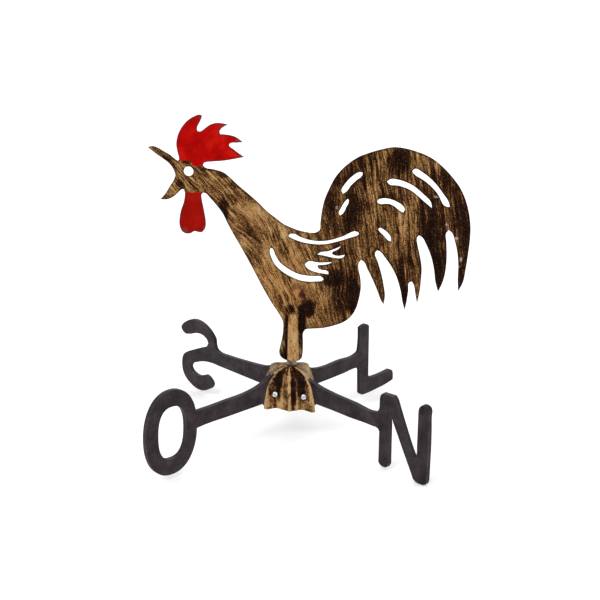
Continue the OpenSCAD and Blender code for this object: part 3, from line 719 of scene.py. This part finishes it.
def fluted_cover(material):
    """Four panels under one crown, slotted at the corners for the arms."""
    bm = bmesh.new()
    layer = bm.verts.layers.float.new("fold")
    tops = [slot_top(corner) for corner in range(4)]
    heights = row_heights(tops)
    grid = [cover_row(bm, layer, z) for z in heights]
    count = len(grid[0])
    for k in range(len(heights) - 1):
        for i in range(count):
            corner, column = divmod(i, ACROSS + BRIDGE)
            if column >= ACROSS and heights[k] < tops[corner] - 1e-4:
                continue
            j = (i + 1) % count
            bm.faces.new((grid[k][i], grid[k][j], grid[k + 1][j], grid[k + 1][i]))
    close_crown(bm, grid[-1])
    bmesh.ops.delete(bm, geom=[v for v in bm.verts if not v.link_faces], context="VERTS")
    piece = new_piece("fluted_cover", bm, material, "compass", "hub_cover", 60)
    solid = piece.modifiers.new("wall", "SOLIDIFY")
    solid.thickness = WALL * MM
    solid.offset = -1
    edge = piece.modifiers.new("soft_edges", "BEVEL")
    edge.width = 0.35 * MM
    edge.segments = 2
    edge.limit_method = "ANGLE"
    edge.angle_limit = math.radians(55)


def screw_height(sx):
    """The screws on the tail's side (sx is 1) sit a little lower."""
    return SCREW_Z - SCREW_TILT * sx * SCREW_X


def spot_face(x, y, z):
    """y on the front and back, dished flat where the screw heads sit."""
    away = math.hypot(abs(x) - SCREW_X, z - screw_height(math.copysign(1, x)))
    keep = min(1.0, max(0.0, (away - 3.5) / 0.9))
    if abs(y) > SEAT:
        y = math.copysign(SEAT + (abs(y) - SEAT) * keep, y)
    return y


# ---------------------------------------------------------------- small parts


# the screws' heads: radius, straight side and dome; their shanks; the cross cut in their tops
HEAD_R, HEAD_SIDE, HEAD_DOME = 3.4, 0.55, 2.1
SHANK_R, SHANK_LENGTH, UNDER_HEAD = 1.9, 8, 0.02
CROSS_REACH, CROSS_HALF, CROSS_DEPTH, CROSS_FLOOR = 1.75, 0.36, 1.15, 1.2


def sunk(p):
    """A point of a screw's head, pushed in where the cross is cut."""
    far, near = max(abs(p.x), abs(p.y)), min(abs(p.x), abs(p.y))
    if p.z > CROSS_FLOOR and far < CROSS_REACH and near < CROSS_HALF:
        return Vector((p.x, p.y, p.z - CROSS_DEPTH * (1 - 0.45 * far / CROSS_REACH)))
    return p


def screw_heads(material):
    """Four pan heads with cross recesses, and their shanks."""
    profile = [(SHANK_R, -SHANK_LENGTH), (SHANK_R, UNDER_HEAD), (HEAD_R, UNDER_HEAD),
               (HEAD_R, HEAD_SIDE)]
    for k in range(25, -1, -1):
        profile.append((HEAD_R * k / 26, HEAD_SIDE + HEAD_DOME * (1 - (k / 26) ** 2.6) ** 0.5))
    bm = bmesh.new()
    for sx in (-1, 1):
        for side in (-1, 1):
            facing = Matrix.Rotation(math.radians(-90 * side), 3, "X")
            twist = Matrix.Rotation(math.radians(20 + 31 * sx + 17 * side), 3, "Z")
            centre = Vector((HUB_X + sx * SCREW_X, side * SEAT, screw_height(sx)))
            start = len(bm.verts)
            lathe(bm, profile, 64)
            for v in list(bm.verts)[start:]:
                v.co = (facing @ twist @ sunk(v.co / MM) + centre) * MM
    new_piece("screw_heads", bm, material, "compass", "cover_screws", 50)


# the sleeve leans on the leg's front: its middle is SLEEVE_OFF beside the spindle, its bore is not
SLEEVE_LOW, SLEEVE_HIGH = 48.4, 95.5
SLEEVE_R, SLEEVE_TOP_R, SLEEVE_OFF, SHEET_Y = 6.2, 5.05, 1.5, 6.0
BORE, PLUG_R, PLUG_LOW, DOME_RISE = 2.9, 2.8, 90.9, 4.8
COLLAR_LOW, COLLAR_TOP = 43.5, 48.2
# how finely each weld is divided along and around
BEAD_STEPS, BEAD_SIDES = 120, 8


def sleeve_tube(bm):
    """The tapered, slightly hammered tube, flat where it lies against the leg."""
    outside = [(BORE, SLEEVE_LOW + 30), (BORE, SLEEVE_LOW), (SLEEVE_R, SLEEVE_LOW),
               (SLEEVE_TOP_R, SLEEVE_HIGH), (BORE + 0.2, SLEEVE_HIGH)]
    lathe(bm, rounded(outside, 0.8), 96)
    for v in bm.verts:
        radius = math.hypot(v.co.x, v.co.y) / MM
        if radius > BORE + 0.1:
            v.co.x += SLEEVE_OFF * MM * min(1, (radius - BORE) / 1.2)
            hammered = math.sin(v.co.z / MM * 0.55 + 2 * math.atan2(v.co.y, v.co.x))
            v.co.x *= 1 + 0.012 * hammered
            v.co.y = min(v.co.y, SHEET_Y * MM)


def weld_bead(bm, side):
    """The rippled weld down one side of the sleeve, thinning out at both ends."""
    rings = []
    for k in range(BEAD_STEPS + 1):
        z = SLEEVE_LOW + 3 + (SLEEVE_HIGH - SLEEVE_LOW - 5) * k / BEAD_STEPS
        ripple = 0.16 * math.sin(2 * math.pi * z / 1.9) + 0.10 * math.sin(z * 1.31 + side)
        ends = min(1, k / 5, (BEAD_STEPS - k) / 5) ** 0.5
        ring = []
        for i in range(BEAD_SIDES + 1):
            a = math.pi * i / BEAD_SIDES
            across = 1.7 * ends * math.cos(a)
            out = (0.7 + ripple) * ends * math.sin(a) - 0.3
            u = Vector((0.80, -0.60)) * out + Vector((0.60, 0.80)) * across
            place = (SLEEVE_OFF + side * (4.3 + u.x), min(4.5 + u.y, SHEET_Y), z)
            ring.append(bm.verts.new(Vector(place) * MM))
        rings.append(ring)
    for a, b in zip(rings, rings[1:]):
        for i in range(BEAD_SIDES):
            quad = (a[i], a[i + 1], b[i + 1], b[i])
            bm.faces.new(quad if side < 0 else quad[::-1])


def sleeve(material):
    """The tapered tube with a rolled lip, and the rippled weld down each side of it."""
    bm = bmesh.new()
    sleeve_tube(bm)
    for side in (-1, 1):
        weld_bead(bm, side)
    new_piece("sleeve", bm, material, "vane", "pivot_sleeve", 45)


def sleeve_dome(material):
    """The domed top, slightly pinched where it was closed, and its plug in the bore."""
    bm = bmesh.new()
    base = SLEEVE_HIGH + 0.1
    profile = [(0, PLUG_LOW), (PLUG_R, PLUG_LOW), (PLUG_R, SLEEVE_HIGH - 0.1),
               (SLEEVE_TOP_R - 0.1, SLEEVE_HIGH)]
    for a in [math.radians(5 * k) for k in range(18)]:
        profile.append((SLEEVE_TOP_R * math.cos(a), base + DOME_RISE * math.sin(a)))
    profile.append((0, base + DOME_RISE))
    lathe(bm, profile, 80)
    for v in bm.verts:
        rise = max(0.0, (v.co.z / MM - base) / DOME_RISE)
        v.co.z -= 0.5 * MM * rise * math.exp(-((v.co.x / MM + 1.2) / 1.1) ** 2)
        v.co.x *= 1 - 0.10 * rise
        if v.co.z > (SLEEVE_HIGH - 0.05) * MM:
            v.co.x += SLEEVE_OFF * MM
            v.co.y = min(v.co.y, SHEET_Y * MM)
    new_piece("sleeve_dome", bm, material, "vane", "sleeve_cap", 45)


def turned_ring(name, node, inner, outer, low, high, soft, material):
    """A turned ring round the spindle, with its corners softened."""
    bm = bmesh.new()
    corners = [(inner, low), (outer, low), (outer, high), (inner, high), (inner, low)]
    lathe(bm, rounded(corners, soft), 80)
    new_piece(name, bm, material, "compass", node, 45)


# ---------------------------------------------------------------- building it

make_camera()
make_studio()

sheet_gold = aged_gold("aged_gold_sheet")
iron = black_iron("black_iron")
zinc = plain_metal("bright_zinc", (0.52, 0.52, 0.53), (0.74, 0.74, 0.75), 0.16)
steel = plain_metal("pivot_steel", (0.36, 0.35, 0.34), (0.52, 0.51, 0.50), 0.24)
tan_metal = plain_metal("tan_collar", (0.055, 0.036, 0.020), (0.30, 0.21, 0.125), 0.34, 0.1)
# near-black ring under the collar: a dark washer, and painted shade of the gap under the collar
near_black_and_gap_shade = plain_metal("dark_washer_and_gap_shade", (0.008, 0.006, 0.005), (0.03, 0.02, 0.018), 0.40, 0.2)

bevelled("cockerel_sheet", "rooster_plate", 0.35, sheet_gold, "vane")
for letter in ("north", "south", "east", "west"):
    bevelled(letter + "_letter_bar", "arm_" + letter, 0.55, iron, "compass")
bevelled("mast_hub", "hub_core", 0.4, iron, "compass")
bevelled("panel_nuts", "cover_nuts", 0.25, zinc, "compass")
bevelled("pivot_nut", "spindle_nut", 0.3, zinc, "compass")

fluted_cover(fluted_gold())
screw_heads(zinc)
sleeve_paint = sleeve_gold()
sleeve(sleeve_paint)
sleeve_dome(sleeve_paint)
turned_ring("dark_ring", "base_washer", 3, 5.6, CROWN, COLLAR_LOW, 0.35,
            near_black_and_gap_shade)
turned_ring("tan_ring", "spacer_collar", 2.95, 5.4, COLLAR_LOW, COLLAR_TOP, 0.4,
            tan_metal)
for node in ("spindle", "thrust_ball"):
    nodes[node].data.materials.clear()
    nodes[node].data.materials.append(steel)
